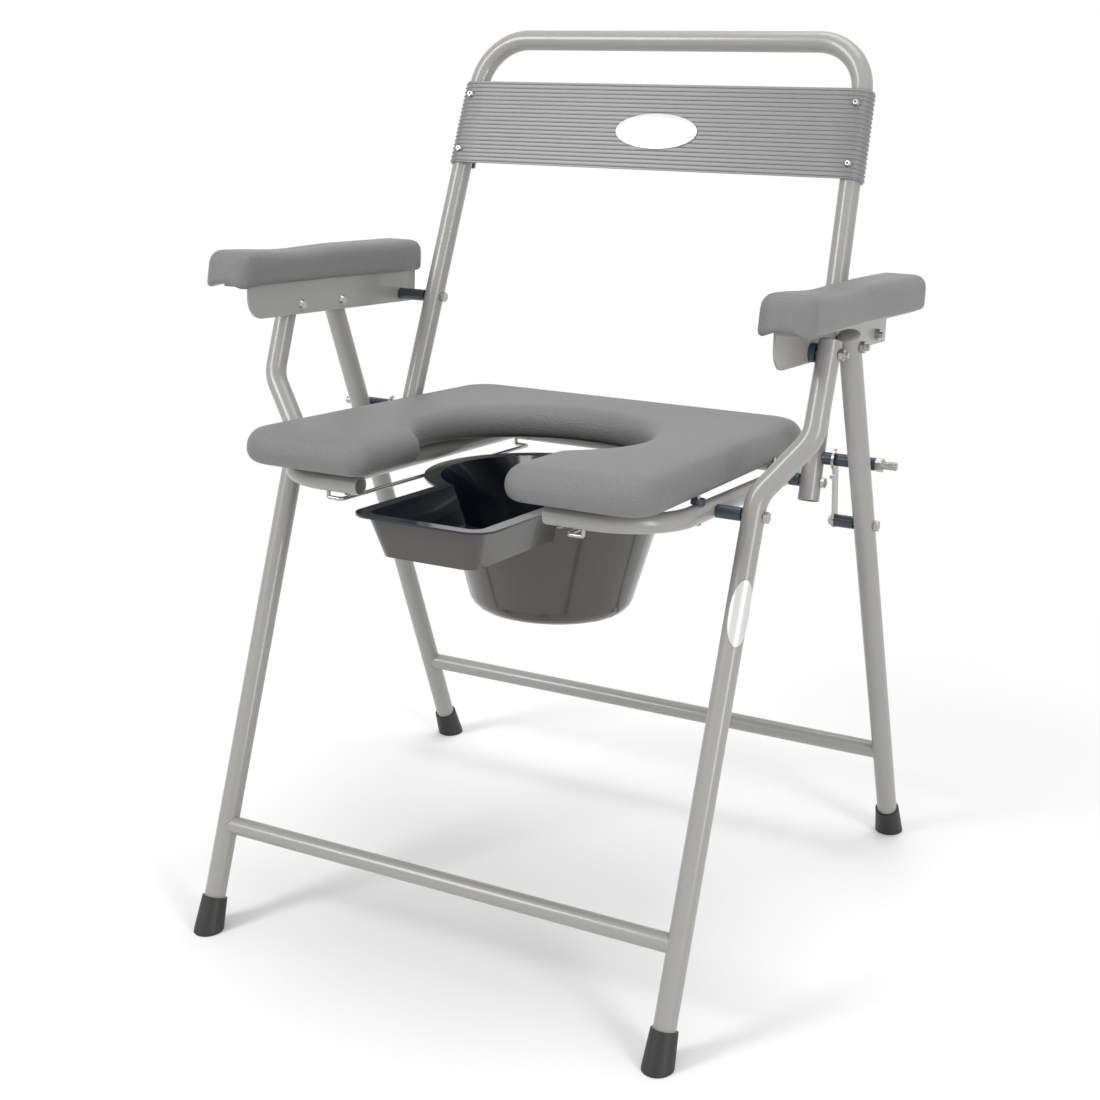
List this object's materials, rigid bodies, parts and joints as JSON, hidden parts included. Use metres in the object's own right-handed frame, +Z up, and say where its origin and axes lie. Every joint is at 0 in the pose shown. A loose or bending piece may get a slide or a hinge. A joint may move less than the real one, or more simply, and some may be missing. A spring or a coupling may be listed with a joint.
{
  "type": "folding commode chair",
  "caption": "Folding commode chair with a bent tube frame, horseshoe seat pad, padded armrests, ribbed back strap, hook locks and a slide-out pail",
  "frame": {"origin": "on the floor, at the middle of the box around the chair", "axes": "+X is across the chair, to the right seen from the front; the chair faces -Y; +Z is up"},
  "size_m": [0.6686, 0.591, 0.8949],
  "materials": {
    "frame_paint": "satin powder coat",
    "pad_grey": "moulded foam, fine grain",
    "strap_grey": "ribbed flexible band",
    "foot_rubber": "matte",
    "pail_black": "gloss injection moulded",
    "sleeve_dark": "satin",
    "zinc": "bright zinc plate"
  },
  "bodies": {
    "front_frame": {"front_leg_left": "frame_paint", "front_leg_right": "frame_paint", "front_crossbar": "frame_paint", "front_foot_left": "foot_rubber", "front_foot_right": "foot_rubber"},
    "rear_frame": {"rear_leg_left": "frame_paint", "rear_leg_right": "frame_paint", "rear_crossbar": "frame_paint", "rear_foot_left": "foot_rubber", "rear_foot_right": "foot_rubber", "hook_studs": "zinc", "hook_stud_sleeves": "sleeve_dark", "hook_stud_nuts": "zinc"},
    "backrest": {"backrest_tube": "frame_paint", "back_strap": "strap_grey", "strap_screws": "zinc", "lock_rods": "zinc", "lock_rod_sleeves": "sleeve_dark", "lock_rod_nuts": "zinc"},
    "arms": {"arm_bracket_left": "frame_paint", "arm_bracket_right": "frame_paint", "arm_pad_left": "pad_grey", "arm_pad_right": "pad_grey", "arm_front_bolts": "zinc", "arm_front_washers": "sleeve_dark", "arm_front_nuts": "zinc", "arm_rear_bolts": "zinc", "arm_rear_washers": "sleeve_dark", "arm_rear_nuts": "zinc", "back_pivot_bolts": "zinc", "back_pivot_sleeves": "sleeve_dark", "back_pivot_nuts": "zinc"},
    "seat": {"seat_frame_tube": "frame_paint", "seat_inner_tubes": "frame_paint", "pail_rails": "zinc", "seat_pad": "pad_grey", "pad_spacers": "sleeve_dark", "pad_screws": "zinc", "seat_front_bolts": "zinc", "seat_front_sleeves": "sleeve_dark", "seat_front_nuts": "zinc", "seat_rear_bolts": "zinc", "seat_rear_sleeves": "sleeve_dark", "seat_rear_nuts": "zinc"},
    "hook_left": {"lock_hook_left": "zinc"},
    "hook_right": {"lock_hook_right": "zinc"},
    "pail": {"pail": "pail_black"}
  },
  "joints": [
    {"name": "fold", "type": "hinge", "parent": "front_frame", "child": "arms", "pos_m": [0, -0.02188, 0.62], "axis": [1, 0, 0], "range_deg": [0, 54]},
    {"name": "seat_fold", "type": "hinge", "parent": "front_frame", "child": "seat", "pos_m": [0, -0.08194, 0.475], "axis": [1, 0, 0], "range_deg": [0, 54]},
    {"name": "backrest_fold", "type": "hinge", "parent": "arms", "child": "backrest", "pos_m": [0, 0.16812, 0.603], "axis": [1, 0, 0], "range_deg": [-54, 0]},
    {"name": "rear_leg_fold", "type": "hinge", "parent": "arms", "child": "rear_frame", "pos_m": [0, 0.05212, 0.61338], "axis": [1, 0, 0], "range_deg": [-96, 0]},
    {"name": "hook_left_swing", "type": "hinge", "parent": "rear_frame", "child": "hook_left", "pos_m": [0, 0.12221, 0.41542], "axis": [1, 0, 0], "range_deg": [0, 195]},
    {"name": "hook_right_swing", "type": "hinge", "parent": "rear_frame", "child": "hook_right", "pos_m": [0, 0.12221, 0.41542], "axis": [1, 0, 0], "range_deg": [0, 195]},
    {"name": "pail_slide", "type": "slide", "parent": "seat", "child": "pail", "axis": [0, -0.996, 0.0891], "range_m": [0, 0.26]}
  ],
  "couplings": [
    {"joint": "seat_fold", "follows": "fold", "ratio": 1},
    {"joint": "backrest_fold", "follows": "fold", "ratio": -1},
    {"joint": "rear_leg_fold", "follows": "fold", "ratio": -1.7778},
    {"joint": "hook_left_swing", "follows": "fold", "ratio": 3.6111},
    {"joint": "hook_right_swing", "follows": "fold", "ratio": 3.6111}
  ]
}
